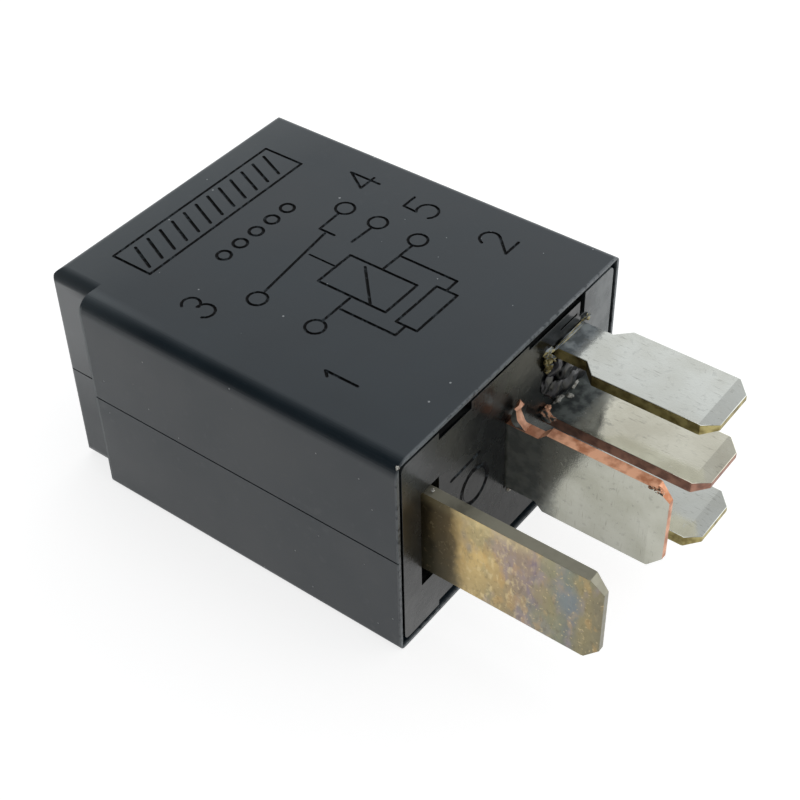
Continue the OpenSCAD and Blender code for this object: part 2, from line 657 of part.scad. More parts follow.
module leaf_spring() {
    w = leaf_w / 2;
    leg = 0.9;
    d_low = d_rivet - 1.8;
    d_line = d_hinge + leaf_up;                          // spring's lower face, pulled in
    // centre of the bend: touches the straight run and the run over the armature
    cy = leaf_y + leaf_bend;
    cd = d_hinge - (leaf_bend - leaf_up + sin(swing) * (hinge_y - cy)) / cos(swing);
    tip = contact_y + contact_r + 0.15;
    taper = coil_y + winding_r - leaf_bend / 2;
    steps = 14;
    bend = [for (k = [0:steps]) k * (90 - swing) / steps];
    color([0.8, 0.66, 0.42]) difference() {
        intersection() {
            // seen from its edge: up along terminal 3, round the bend, over the armature
            along_z(-w, w) polygon(concat(
                [[d_low, leaf_y - leaf_t]],
                [for (a = bend) [cd + (leaf_bend + leaf_t) * sin(a), cy - (leaf_bend + leaf_t) * cos(a)]],
                [turned(tip, leaf_up + leaf_t), turned(tip, leaf_up)],
                [for (k = [0:steps]) [cd + leaf_bend * sin(bend[steps - k]), cy - leaf_bend * cos(bend[steps - k])]],
                [[d_low, leaf_y]]));
            // seen from the closed end: narrower towards the contact
            along_x(0, cover_l) polygon([
                [leaf_y - leaf_bend, zc - w], [coil_y + core_r / 2, zc - w], [taper, zc - leaf_tip_w / 2], [tip - 0.6, zc - leaf_tip_w / 2],
                [tip + 0.1, zc - leaf_tip_w / 2 + 0.7], [tip + 0.1, zc + leaf_tip_w / 2 - 0.7], [tip - 0.6, zc + leaf_tip_w / 2],
                [taper, zc + leaf_tip_w / 2], [coil_y + core_r / 2, zc + w], [leaf_y - leaf_bend, zc + w]]);
        }
        // window that leaves two legs to flex
        translate([-cd - 4, leaf_y - 3, zc - w + leg]) cube([4 + cd - d_rivet - 3, hinge_y + 0.8 - leaf_y + 3, 2 * (w - leg)]);
        for (s = [-1, 1]) translate([-d_rivet, leaf_y, zc + s * rivet_half]) rotate([90, 0, 0])
            cylinder(h = 3, r = hole_r, center = true);
        at_rest() {
            for (s = [-1, 1]) rod(d_line - 1, d_line + 1, arm_rivet_y, zc + s * rivet_half, hole_r);
            rod(d_line - 1, d_line + 1, contact_y, zc, hole_r);
        }
    }
}

module yoke_rivets() {
    grip = yoke_in - leaf_y + leaf_t;
    color([0.6, 0.6, 0.58]) for (s = [-1, 1]) translate([-d_rivet, leaf_y - leaf_t - fit, zc + s * rivet_half])
        rotate([-90, 0, 0]) rotate_extrude($fn = 48) polygon([[0, -head_t], [head_flat, -head_t], [head_r, -head_rim],
            [head_r, 0], [shank_r, 0], [shank_r, grip + fit - upset_t], [upset_r, grip + fit - upset_t], [upset_r, grip], [0, grip]]);
}

module armature_rivets() {
    top = armature_t + leaf_t + 2 * fit;
    color([0.6, 0.6, 0.58]) at_rest() for (s = [-1, 1]) translate([-d_hinge, arm_rivet_y, zc + s * rivet_half])
        rotate([0, -90, 0]) rotate_extrude($fn = 48) polygon([[0, fit], [upset_r, fit], [upset_r, upset_t], [shank_r, upset_t],
            [shank_r, top], [head_r, top], [head_r, top + head_rim], [head_flat, top + head_t], [0, top + head_t]]);
}

// the double contact riveted in the spring
module moving_contact() {
    d = d_hinge + leaf_up;
    color([0.85, 0.85, 0.86]) at_rest() translate([-d, contact_y, zc]) rotate([0, -90, 0]) rotate_extrude($fn = 64)
        polygon([[0, -contact_t], [contact_r, -contact_t], [contact_r, -fit], [shank_r, -fit], [shank_r, leaf_t + fit],
                 [contact_r, leaf_t + fit], [contact_r, leaf_t + contact_t], [0, leaf_t + contact_t]]);
}

// a fixed contact riveted in an arm: face at depth f, seat the other way
module fixed_contact(f, dir, y) {
    color([0.85, 0.85, 0.86]) translate([-f, y, zc]) rotate([0, -90 * dir, 0]) rotate_extrude($fn = 64)
        polygon([[0, 0], [contact_r, 0], [contact_r, contact_t - fit], [shank_r, contact_t - fit],
                 [shank_r, contact_t + blade_t + fit], [tail_r, contact_t + blade_t + fit],
                 [tail_r - 0.15, contact_t + blade_t + tail_t], [0, contact_t + blade_t + tail_t]]);
}

module contact_closed() { fixed_contact(d_hinge + nc_face, 1, y_rest()); }
module contact_open() { fixed_contact(d_hinge + no_face, -1, contact_y); }

// ---------------------------------------------------------------- suppression resistor

module resistor() {
    l = resistor_l / 2;
    r = resistor_r;
    color([0.35, 0.5, 0.62]) translate([-resistor_d, resistor_y, zc]) rotate_extrude($fn = 64) polygon([
        [0, -l], [r * 0.9, -l], [r * 0.9, -l + waist], [r * 0.78, -l + waist + waist_slope],
        [r * 0.78, l - waist - waist_slope], [r * 0.9, l - waist], [r * 0.9, l], [0, l]]);
}

module resistor_caps() {
    l = resistor_l / 2;
    r = resistor_r;
    color([0.75, 0.75, 0.75]) for (s = [-1, 1]) translate([-resistor_d, resistor_y, zc]) scale([1, 1, s])
        rotate_extrude($fn = 64) polygon([[0, l + fit], [0, l + cap_t], [r, l + cap_t], [r, l - cap_l], [r * 0.9 + fit, l - cap_l], [r * 0.9 + fit, l + fit]]);
}

module resistor_leads() {
    l = resistor_l / 2 + cap_t + fit;
    zt = z_small + blade_t / 2 + lead_r + fit / 2;
    b = lead_bend;
    color([0.78, 0.76, 0.74]) for (s = [-1, 1]) translate([0, resistor_y, zc]) scale([1, 1, s]) {
        translate([-resistor_d, 0, l]) cylinder(h = zt - b - l, r = lead_r, $fn = 32);
        translate([-resistor_d + b, 0, zt - b]) rotate([90, 0, 0]) rotate([0, 0, 90])
            rotate_extrude(angle = 90, $fn = 32) translate([b, 0]) circle(lead_r, $fn = 32);
        translate([-resistor_d + b, 0, zt]) rotate([0, 90, 0]) cylinder(h = resistor_d - b - d_base - lead_end, r = lead_r, $fn = 32);
    }
}

// ---------------------------------------------------------------- the part

translate([rim_x, 0, 0]) {
    cover();
    base();
    sealant();
    terminal_1();
    terminal_2();
    terminal_3();
    terminal_4();
    terminal_5();
    yoke();
    core();
    bobbin();
    winding();
    coil_tape();
    coil_leads();
    armature();
    leaf_spring();
    yoke_rivets();
    armature_rivets();
    moving_contact();
    contact_closed();
    contact_open();
    resistor();
    resistor_caps();
    resistor_leads();
}
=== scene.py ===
# %% [markdown]
# # A small automotive relay on a studio floor
# A relay like this plugs into a fuse box: a moulded black cover, a black base
# plate and five stamped blades. The solid model already has every piece at its
# true size. This lesson dresses it: plastic that shines a little, plating that
# is worn at the cut edges, engraved pin marks, and the coil and contacts inside.
#
# Lengths in the script are metres, so `MM` turns a millimetre into one
# thousandth.

# %% Load the solids
import math

import bmesh
import bpy
from mathutils import Matrix, Vector, noise


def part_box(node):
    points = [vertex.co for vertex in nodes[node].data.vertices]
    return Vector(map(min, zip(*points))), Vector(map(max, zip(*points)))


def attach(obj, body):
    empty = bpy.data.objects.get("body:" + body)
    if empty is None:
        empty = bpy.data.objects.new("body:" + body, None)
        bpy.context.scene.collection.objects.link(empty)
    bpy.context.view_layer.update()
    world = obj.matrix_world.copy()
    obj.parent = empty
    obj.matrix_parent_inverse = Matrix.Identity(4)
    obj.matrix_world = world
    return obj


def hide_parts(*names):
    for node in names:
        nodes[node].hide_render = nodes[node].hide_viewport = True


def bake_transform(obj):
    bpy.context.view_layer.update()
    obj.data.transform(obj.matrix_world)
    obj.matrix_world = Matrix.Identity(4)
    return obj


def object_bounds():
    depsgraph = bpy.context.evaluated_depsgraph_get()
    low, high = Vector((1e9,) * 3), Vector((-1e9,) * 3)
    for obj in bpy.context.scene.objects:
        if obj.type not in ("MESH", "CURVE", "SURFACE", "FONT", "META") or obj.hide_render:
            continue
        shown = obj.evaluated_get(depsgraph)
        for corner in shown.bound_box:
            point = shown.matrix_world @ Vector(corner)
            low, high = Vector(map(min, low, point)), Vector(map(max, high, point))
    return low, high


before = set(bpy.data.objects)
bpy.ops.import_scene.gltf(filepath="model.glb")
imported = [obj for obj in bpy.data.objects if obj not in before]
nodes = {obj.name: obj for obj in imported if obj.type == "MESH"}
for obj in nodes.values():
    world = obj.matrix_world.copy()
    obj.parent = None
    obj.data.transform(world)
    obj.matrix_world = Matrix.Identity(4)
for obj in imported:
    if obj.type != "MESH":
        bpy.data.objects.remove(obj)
cad_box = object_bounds()
MM = 0.001
print("pieces in the solid model:", len(nodes))

# %% [markdown]
# ## Where things are
# The cover lies on its large side. X points the way the blades point, Z is up
# and Y runs across. The open rim of the cover is its largest X, and the marked
# face is its top. All places below are measured from these.

# %% Measure the housing
cover_lo, cover_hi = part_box("cover")
rim_x = cover_hi.x
top_z = cover_hi.z
face_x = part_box("base")[1].x
mid_z = (cover_lo.z + cover_hi.z) / 2
print("cover, mm:", [round(v / MM, 2) for v in cover_hi - cover_lo])
print("base plate below the rim, mm:", round((rim_x - face_x) / MM, 2))

# %% [markdown]
# ## The camera
# A relay is small enough to hold, so the camera is close, about ten centimetres
# away, and looks down on the marked face and the blades. A close camera gives
# strong perspective, and that is why the place and the lens are both exact.

# %% Camera
camera_data = bpy.data.cameras.new("camera")
camera_data.sensor_width = 36
camera_data.lens = 71.4
camera_data.clip_start = 0.001
camera_data.clip_end = 20
camera = bpy.data.objects.new("camera", camera_data)
camera.location = (0.04403, -0.05729, 0.07417)
camera.rotation_euler = [math.radians(a) for a in (47.299, 1.01, 36.938)]
bpy.context.scene.collection.objects.link(camera)
bpy.context.scene.camera = camera
print("camera distance, mm:", round((camera.location - (cover_lo + cover_hi) / 2).length / MM))

# %% [markdown]
# ## Small tools for materials
# Every material here is a small tree of nodes. `add` makes one node and fills
# its sockets, with a number or with a link from another node, so a tree reads
# from top to bottom like a recipe. The Mix node has a set of sockets for each
# kind of data: 2 and 3 take numbers, 6 and 7 take colours.

# %% One node, one mix, one new material
def add(tree, kind, sockets=None, **settings):
    made = tree.nodes.new(kind)
    for name, value in settings.items():
        setattr(made, name, value)
    for name, value in (sockets or {}).items():
        if isinstance(value, bpy.types.NodeSocket):
            tree.links.new(value, made.inputs[name])
        else:
            made.inputs[name].default_value = value
    return made


def colour(r, g, b):
    """A colour given as it looks on a screen, 0 to 255, made linear."""
    channel = lambda v: (v / 255 / 12.92) if v < 10.3 else ((v / 255 + 0.055) / 1.055) ** 2.4
    return (channel(r), channel(g), channel(b), 1.0)


def mix(tree, factor, a, b):
    return add(tree, "ShaderNodeMix", {0: factor, 6: a, 7: b}, data_type="RGBA").outputs[2]


def mix_value(tree, factor, a, b):
    return add(tree, "ShaderNodeMix", {0: factor, 2: a, 3: b}, data_type="FLOAT").outputs[0]


def maths(tree, operation, a, b=0.0):
    return add(tree, "ShaderNodeMath", {0: a, 1: b}, operation=operation).outputs[0]


def times(tree, a, b):
    return maths(tree, "MULTIPLY", a, b)


def ramp(tree, value, low, high, to_low=0.0, to_high=1.0):
    return add(tree, "ShaderNodeMapRange", {"Value": value, "From Min": low, "From Max": high,
                                            "To Min": to_low, "To Max": to_high}).outputs[0]


def distance(tree, a, b):
    return add(tree, "ShaderNodeVectorMath", {0: a, 1: b}, operation="DISTANCE").outputs["Value"]


def new_material(name, **shader):
    material = bpy.data.materials.new(name)
    material.use_nodes = True
    bsdf = material.node_tree.nodes["Principled BSDF"]
    for socket, value in shader.items():
        bsdf.inputs[socket.replace("_", " ")].default_value = value
    return material, material.node_tree, bsdf


# %% [markdown]
# ## Effects that several finishes share
# Grain, blotches, scratches, dust and the bare metal of a sheared edge turn up
# on more than one piece. Each is a node group with named inputs, built once.
# They all read Object coordinates in millimetres, so a grain of 0.1 is a tenth
# of a millimetre on any piece.

# %% A node group with its sockets
def group(name, inputs, output):
    tree = bpy.data.node_groups.new(name, "ShaderNodeTree")
    for label, kind, value in inputs:
        socket = tree.interface.new_socket(label, in_out="INPUT", socket_type=kind)
        socket.default_value = value
    tree.interface.new_socket(output, in_out="OUTPUT", socket_type="NodeSocketFloat")
    return tree, tree.nodes.new("NodeGroupInput").outputs, tree.nodes.new("NodeGroupOutput").inputs[0]


def millimetres(tree, stretch=None):
    metres = add(tree, "ShaderNodeTexCoord").outputs["Object"]
    scaled = add(tree, "ShaderNodeVectorMath", {0: metres, "Scale": 1 / MM}, operation="SCALE").outputs[0]
    if stretch is None:
        return scaled
    return add(tree, "ShaderNodeVectorMath", {0: scaled, 1: stretch}, operation="MULTIPLY").outputs[0]


def coordinates(tree):
    """How far along, across and up a point lies, in millimetres."""
    return add(tree, "ShaderNodeSeparateXYZ", {0: millimetres(tree)}).outputs


def use(tree, effect, **values):
    sockets = {name.replace("_", " "): value for name, value in values.items()}
    return add(tree, "ShaderNodeGroup", sockets, node_tree=effect).outputs[0]


# %% Grain and blotches
NUMBER, VECTOR = "NodeSocketFloat", "NodeSocketVector"

grain, g_in, g_out = group("grain", [("Size", NUMBER, 0.1), ("Detail", NUMBER, 2.0)], "Height")
bumps = add(grain, "ShaderNodeTexNoise", {"Vector": millimetres(grain), "Detail": g_in["Detail"],
                                          "Scale": maths(grain, "DIVIDE", 1.0, g_in["Size"])})
grain.links.new(bumps.outputs[0], g_out)

blotches, b_in, b_out = group("blotches", [
    ("Size", NUMBER, 2.0), ("Detail", NUMBER, 4.0), ("Low", NUMBER, 0.45), ("High", NUMBER, 0.6),
    ("Shift", NUMBER, 0.0), ("Stretch", VECTOR, (1.0, 1.0, 1.0))], "Mask")
stretched = millimetres(blotches, b_in["Stretch"])
moved = add(blotches, "ShaderNodeVectorMath", {0: stretched, 1: b_in["Shift"]}, operation="ADD").outputs[0]
clouds = add(blotches, "ShaderNodeTexNoise", {"Vector": moved, "Detail": b_in["Detail"],
                                              "Scale": maths(blotches, "DIVIDE", 1.0, b_in["Size"])})
blotches.links.new(ramp(blotches, clouds.outputs[0], b_in["Low"], b_in["High"]), b_out)
print("made groups: grain, blotches")

# %% Scratches and dust
scratches, s_in, s_out = group("scratches", [
    ("Stretch", VECTOR, (6.0, 6.0, 0.4)), ("Low", NUMBER, 0.62), ("High", NUMBER, 0.7)], "Mask")
lines = add(scratches, "ShaderNodeTexNoise", {"Vector": millimetres(scratches, s_in["Stretch"]), "Scale": 1.0,
                                              "Detail": 3.0, "Distortion": 0.3})
scratches.links.new(ramp(scratches, lines.outputs[0], s_in["Low"], s_in["High"]), s_out)

# Each cell has a colour of its own: its red chooses the cell, its green sizes the speck.
dust, d_in, d_out = group("dust", [
    ("Spacing", NUMBER, 0.7), ("Share", NUMBER, 0.2), ("Speck", NUMBER, 0.07)], "Mask")
per_mm = maths(dust, "DIVIDE", 1.0, d_in["Spacing"])
cells = add(dust, "ShaderNodeTexVoronoi", {"Vector": millimetres(dust), "Scale": per_mm})
red, green = add(dust, "ShaderNodeSeparateColor", {0: cells.outputs["Color"]}).outputs[:2]
chosen = maths(dust, "LESS_THAN", red, d_in["Share"])
inside = maths(dust, "LESS_THAN", cells.outputs["Distance"], times(dust, green, d_in["Speck"]))
dust.links.new(times(dust, chosen, inside), d_out)
print("made groups: scratches, dust")

# %% [markdown]
# A blade is stamped from plated strip. The plating stays on the two rolled
# faces, and the sheared edge shows the metal below. The group compares the
# surface's own direction with the direction that the faces point in.

# %% Bare metal on a sheared edge
sheared, c_in, c_out = group("sheared", [("Faces", VECTOR, (0.0, 1.0, 0.0)), ("Ragged", NUMBER, 0.1)], "Mask")
direction = add(sheared, "ShaderNodeTexCoord").outputs["Normal"]
cosine = add(sheared, "ShaderNodeVectorMath", {0: direction, 1: c_in["Faces"]}, operation="DOT_PRODUCT")
tears = add(sheared, "ShaderNodeTexNoise", {"Vector": millimetres(sheared), "Scale": 5.0, "Detail": 3.0})
wobble = times(sheared, maths(sheared, "SUBTRACT", tears.outputs[0], 0.5), c_in["Ragged"])
facing = maths(sheared, "ADD", maths(sheared, "ABSOLUTE", cosine.outputs["Value"]), wobble)
sheared.links.new(ramp(sheared, facing, 0.8, 0.6), c_out)
print("made group: sheared")

# %% [markdown]
# ## Moulded plastic
# The cover is glass-filled plastic from a spark-eroded mould, so it has a fine
# even grain and a dull shine. Black plastic is almost all reflection: its own
# colour is very dark, and the light tones come from what it mirrors. Towards the
# closed end and on the near side its colour is painted lighter, as a painted
# reflection, and thin painted highlights run along the rim and down the edge of
# the step. The strip where the near side steps back is polished. The marks are
# cut into the mould, hold no shine at all, and are painted dark as painted shade.

# %% A bump from a height
def bump(tree, height, strength, depth, normal=None):
    """`depth` is in millimetres, and `normal` is another bump below this one."""
    sockets = {"Height": height, "Strength": strength, "Distance": depth * MM}
    if normal is not None:
        sockets["Normal"] = normal
    return add(tree, "ShaderNodeBump", sockets).outputs[0]


# %% Cover plastic: its tint
STEP_X = cad_box[0].x / MM + 3.4        # the near side steps back here, by the closed end
cover_plastic, tree, bsdf = new_material("cover_plastic", Roughness=0.4, Specular_IOR_Level=0.5,
                                         Coat_Roughness=0.4)
haze = use(tree, blotches, Size=5.0, Low=0.35, High=0.7)
rubbed = use(tree, blotches, Size=0.6, Low=0.6, High=0.72, Shift=11.0)
specks = use(tree, dust, Spacing=1.0, Share=0.38, Speck=0.075)
tint = mix(tree, haze, colour(16, 31, 40), colour(22, 37, 46))
along, across, height = coordinates(tree)
# Painted reflection: the colour grows lighter towards the closed end.
closed_end_sheen = ramp(tree, along, -14.0, -19.5, 0.0, 0.5)
tint = mix(tree, closed_end_sheen, tint, colour(66, 74, 78))

# %% Cover plastic: painted sheen on the near side, the step and the rim, and a polished strip
near_side = ramp(tree, across, -9.6, -10.0)
# Painted reflection: the near side is lighter towards the closed end.
near_side_sheen = times(tree, near_side, ramp(tree, along, -9.5, -15.0, 0.0, 0.16))
tint = mix(tree, near_side_sheen, tint, colour(116, 124, 128))
set_back = times(tree, near_side, ramp(tree, along, STEP_X + 0.02, STEP_X - 0.02))
polish = times(tree, set_back, ramp(tree, height, 4.5, 11.0, 0.05, 0.8))
tree.links.new(polish, bsdf.inputs["Coat Weight"])
# Painted highlight: a thin light line down the edge where the near side steps back.
from_step = maths(tree, "ABSOLUTE", maths(tree, "SUBTRACT", along, STEP_X))
step_highlight = times(tree, ramp(tree, across, -11.05, -11.15), ramp(tree, from_step, 0.2, 0.12))
tint = mix(tree, times(tree, step_highlight, 0.5), tint, colour(150, 158, 160))
# Painted highlight: a thin, broken light line along the rim's edge.
rim_highlight = times(tree, ramp(tree, along, rim_x / MM - 0.16, rim_x / MM - 0.06),
                   use(tree, blotches, Size=0.35, Low=0.35, High=0.5, Shift=5.0))
tint = mix(tree, times(tree, rim_highlight, 0.5), tint, colour(128, 134, 138))
tree.links.new(mix(tree, specks, tint, colour(150, 154, 156)), bsdf.inputs["Base Color"])
tree.links.new(mix_value(tree, rubbed, mix_value(tree, haze, 0.36, 0.44), 0.33), bsdf.inputs["Roughness"])
skin = bump(tree, use(tree, grain, Size=0.07), 0.25, 0.01)
tree.links.new(bump(tree, use(tree, grain, Size=7.0), 0.5, 0.05, skin), bsdf.inputs["Normal"])
print("cover_plastic")

# %% The floor of the engraved marks: painted shade
groove_painted_shade, tree, bsdf = new_material("groove_painted_shade", Roughness=0.75, Specular_IOR_Level=0.2)
# Painted shade on the groove floors: near black, broken by lighter spots.
shade_breaks = use(tree, blotches, Size=0.32, Detail=5.0, Low=0.53, High=0.62)
tree.links.new(mix(tree, shade_breaks, colour(5, 6, 8), colour(50, 56, 60)), bsdf.inputs["Base Color"])
print("groove_painted_shade")

# %% [markdown]
# ## Base plate and resin
# The base is the same black plastic, smoother. A pale painted reflection lies
# towards its far side and its near corners, and inside its recesses a painted
# shade makes it almost black. Potting resin seals it, and a little white dust
# sticks at the edges.

# %% Base plastic
base_plastic, tree, bsdf = new_material("base_plastic", Roughness=0.3, Specular_IOR_Level=0.5)
haze = use(tree, blotches, Size=1.4, Detail=3.0, Low=0.4, High=0.62)
specks = use(tree, dust, Spacing=0.5, Share=0.22, Speck=0.09)
along, across, height = coordinates(tree)
off_middle = maths(tree, "ABSOLUTE", maths(tree, "SUBTRACT", height, mid_z / MM))
# Painted reflection: pale patches towards the far side and the near corners, weaker low down.
near_corner_sheen = times(tree, ramp(tree, across, -7.4, -10.0, 0.0, 0.28), ramp(tree, off_middle, 3.6, 4.8))
near_corner_sheen = times(tree, near_corner_sheen, ramp(tree, height, 3.6, 5.0, 0.15, 1.0))
pale_sheen = maths(tree, "MAXIMUM", ramp(tree, across, 6.8, 9.0), near_corner_sheen)
tint = mix(tree, haze, colour(4, 6, 7), colour(14, 18, 18))
tint = mix(tree, pale_sheen, tint, mix(tree, haze, colour(98, 104, 106), colour(76, 83, 85)))
# Painted shade: inside the recesses the colour goes almost black, and rough.
recess_shade = ramp(tree, along, face_x / MM - 0.1, face_x / MM - 0.3)
tint = mix(tree, recess_shade, tint, colour(2, 3, 3))
tree.links.new(mix(tree, specks, tint, colour(150, 154, 150)), bsdf.inputs["Base Color"])
tree.links.new(mix_value(tree, recess_shade, mix_value(tree, haze, 0.18, 0.32), 0.8), bsdf.inputs["Roughness"])
skin = bump(tree, use(tree, grain, Size=0.14), 0.3, 0.012)
skin = bump(tree, use(tree, grain, Size=0.55), 0.35, 0.03, skin)
tree.links.new(bump(tree, use(tree, grain, Size=1.8), 0.4, 0.06, skin), bsdf.inputs["Normal"])
print("base_plastic")

# %% Potting resin and white dust
resin, tree, bsdf = new_material("potting_resin", Roughness=0.3, Specular_IOR_Level=0.5)
cloud = use(tree, blotches, Size=0.5, Low=0.4, High=0.65)
tree.links.new(mix(tree, cloud, colour(7, 8, 11), colour(26, 24, 33)), bsdf.inputs["Base Color"])
tree.links.new(bump(tree, use(tree, grain, Size=0.4), 0.3, 0.05), bsdf.inputs["Normal"])

dust_white, tree, bsdf = new_material("white_dust", Roughness=0.8)
cloud = use(tree, blotches, Size=0.2, Low=0.4, High=0.6)
tree.links.new(mix(tree, cloud, colour(206, 206, 200), colour(150, 146, 138)), bsdf.inputs["Base Color"])
print("potting_resin, white_dust")

# %% [markdown]
# ## Plated blades
# Tin on copper or brass strip: a soft grey mirror with fine marks from the
# rolls and from pushing into sockets. At the sheared edges the copper or the
# brass shows, and a dull film has crept over the root. The film is dirt, not
# metal, so the material stops being metallic there. `plated` builds a blade's
# finish from those colours, from the direction `faces` that its rolled faces
# point in, and from how far in millimetres the film may `reach`.

# %% Tin over copper or brass
def plated(name, faces, tin, bare, film, gloss, marks, reach):
    """`tin`, `bare` and `film` are each a clean and a worn colour."""
    material, tree, bsdf = new_material(name, Metallic=1.0)
    cloud = use(tree, blotches, Size=2.4, Low=0.38, High=0.66)
    fleck = use(tree, blotches, Size=0.35, Detail=5.0, Low=0.6, High=0.68, Shift=4.0)
    line = use(tree, scratches, Stretch=marks)
    face = mix(tree, cloud, colour(*tin[0]), colour(*tin[1]))
    face = mix(tree, times(tree, fleck, 0.16), face, colour(120, 122, 122))
    face = mix(tree, times(tree, line, 0.3), face, colour(110, 108, 100))

    drift = times(tree, use(tree, grain, Size=0.3, Detail=4.0), 0.8)
    along = maths(tree, "SUBTRACT", coordinates(tree)[0], drift)
    root = ramp(tree, along, face_x / MM + reach * 0.5, face_x / MM + reach, 1.0, 0.0)
    film_cloud = use(tree, blotches, Size=0.6, Detail=5.0, Low=0.4, High=0.6, Shift=14.0)
    face = mix(tree, root, face, mix(tree, film_cloud, colour(*film[0]), colour(*film[1])))
    tree.links.new(ramp(tree, root, 0.0, 1.0, 1.0, 0.15), bsdf.inputs["Metallic"])

    edge = use(tree, sheared, Faces=faces)
    edge_cloud = use(tree, blotches, Size=0.7, Low=0.4, High=0.62, Shift=9.0)
    bare_edge = mix(tree, edge_cloud, colour(*bare[0]), colour(*bare[1]))
    tree.links.new(mix(tree, edge, face, bare_edge), bsdf.inputs["Base Color"])
    dull = mix_value(tree, cloud, gloss, gloss + 0.05)
    dull = mix_value(tree, times(tree, fleck, 0.5), dull, 0.4)
    dull = mix_value(tree, root, dull, 0.3)
    tree.links.new(mix_value(tree, edge, dull, 0.42), bsdf.inputs["Roughness"])
    skin = bump(tree, use(tree, grain, Size=0.08), 0.2, 0.01)
    tree.links.new(bump(tree, line, -0.35, 0.01, skin), bsdf.inputs["Normal"])
    return material


# %% The three plated finishes
FLAT, ON_EDGE = (0, 0, 1), (0, 1, 0)             # which way a blade's rolled faces point
tinned_brass = plated("tinned_brass", FLAT, gloss=0.1, marks=(1.2, 7.0, 7.0), reach=1.3,
                      tin=((208, 210, 205), (198, 199, 192)), bare=((176, 164, 112), (120, 108, 66)),
                      film=((150, 157, 160), (98, 104, 107)))
tinned_copper_up = plated("tinned_copper_small", FLAT, gloss=0.08, marks=(1.2, 7.0, 7.0), reach=2.7,
                          tin=((216, 213, 198), (200, 196, 180)), bare=((164, 122, 104), (122, 90, 78)),
                          film=((116, 122, 120), (66, 71, 71)))
tinned_copper = plated("tinned_copper", ON_EDGE, gloss=0.12, marks=(9.0, 7.0, 0.7), reach=3.5,
                       tin=((184, 184, 173), (170, 170, 157)), bare=((222, 168, 136), (172, 116, 86)),
                       film=((124, 129, 127), (98, 103, 102)))
print("plated finishes:", tinned_brass.name, tinned_copper_up.name, tinned_copper.name)

# %% [markdown]
# The common blade has run hot. Its brass is stained in bands along its length:
# brown at the root, gold in the middle, a purple band, then blue-grey where it
# sat deepest in its socket. A colour ramp along X makes the bands, and noise
# breaks them up.

# %% Bands of heat colours
tip_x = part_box("terminal_3")[1].x
stained, tree, bsdf = new_material("tarnished_brass", Metallic=1.0)
along, across, height = coordinates(tree)
drift = times(tree, maths(tree, "SUBTRACT", use(tree, grain, Size=1.3, Detail=2.0), 0.5), 1.6)
way = ramp(tree, maths(tree, "ADD", along, drift), face_x / MM, tip_x / MM)     # 0 at the root, 1 at the tip
bands = add(tree, "ShaderNodeValToRGB", {0: way})
stops = [(0.0, (86, 76, 57)), (0.06, (134, 117, 84)), (0.15, (146, 127, 92)), (0.2, (218, 188, 128)),
         (0.3, (210, 183, 125)), (0.42, (182, 158, 112)), (0.5, (156, 138, 116)), (0.58, (150, 134, 122)),
         (0.615, (136, 122, 128)), (0.65, (152, 138, 116)), (0.74, (146, 138, 106)), (0.82, (118, 124, 124)),
         (0.9, (146, 135, 102)), (1.0, (128, 121, 100))]
for k, (at, tone) in enumerate(stops):
    stop = bands.color_ramp.elements[k] if k < 2 else bands.color_ramp.elements.new(at)
    stop.position = at
    stop.color = colour(*tone)
print("bands over", round((tip_x - face_x) / MM, 1), "mm")

# %% [markdown]
# The bands alone look printed. Stains of several sizes lie over them: lilac and
# olive ones of two or three millimetres, rust, cream and dark flecks that get
# smaller and smaller, and one blue spot near the tip.

# %% Stains over the bands
past_root = ramp(tree, way, 0.17, 0.24)


def patch(under, tone, strength, size, low, high, shift):
    """A stain of one colour over part of the face, beyond the brown root."""
    stain = use(tree, blotches, Stretch=(1.5, 1.0, 0.75), Size=size, Low=low, High=high, Shift=shift)
    mask = times(tree, times(tree, stain, past_root), strength)
    return mix(tree, mask, under, colour(*tone))


low_half = ramp(tree, height, 8.2, 5.2, 0.0, 0.42)
face = mix(tree, low_half, bands.outputs[0], colour(120, 118, 98))
face = patch(face, (150, 138, 146), 0.55, 2.2, 0.5, 0.6, 3.0)
face = patch(face, (132, 136, 116), 0.5, 2.6, 0.5, 0.6, 17.0)
face = patch(face, (196, 160, 104), 0.35, 1.2, 0.54, 0.62, 25.0)
face = patch(face, (228, 208, 160), ramp(tree, way, 0.66, 0.52, 0.06, 0.4), 0.5, 0.54, 0.66, 8.0)
face = patch(face, (92, 80, 62), 0.25, 0.32, 0.58, 0.66, 31.0)
BLUE_SPOT = (17.0, -8.4, 8.4)
from_blue = maths(tree, "ADD", distance(tree, millimetres(tree), BLUE_SPOT), drift)
face = mix(tree, ramp(tree, from_blue, 1.4, 0.5, 0.0, 0.6), face, colour(118, 128, 138))
specks = use(tree, blotches, Size=0.22, Detail=2.0, Low=0.64, High=0.68, Shift=51.0)
face = mix(tree, times(tree, specks, 0.45), face, colour(206, 186, 144))
upper_rim = times(tree, ramp(tree, height, 9.9, 10.6, 0.0, 0.4), ramp(tree, way, 0.8, 0.5))
face = mix(tree, upper_rim, face, colour(214, 198, 152))
print("stains: 5 kinds, a blue spot and specks")

# %% Finish of the common blade
edge = use(tree, sheared, Faces=ON_EDGE)
tree.links.new(mix(tree, edge, face, colour(134, 131, 117)), bsdf.inputs["Base Color"])
tree.links.new(ramp(tree, way, 0.06, 0.2, 0.1, 1.0), bsdf.inputs["Metallic"])
mottle = use(tree, blotches, Size=0.45, Detail=3.0, Low=0.42, High=0.6, Shift=3.0)
tree.links.new(mix_value(tree, mottle, 0.4, 0.28), bsdf.inputs["Roughness"])
pits = use(tree, blotches, Size=0.3, Detail=2.0, Low=0.6, High=0.68, Shift=8.0)
tree.links.new(bump(tree, mottle, 0.2, 0.01, bump(tree, pits, -0.2, 0.02)), bsdf.inputs["Normal"])
print("tarnished_brass")

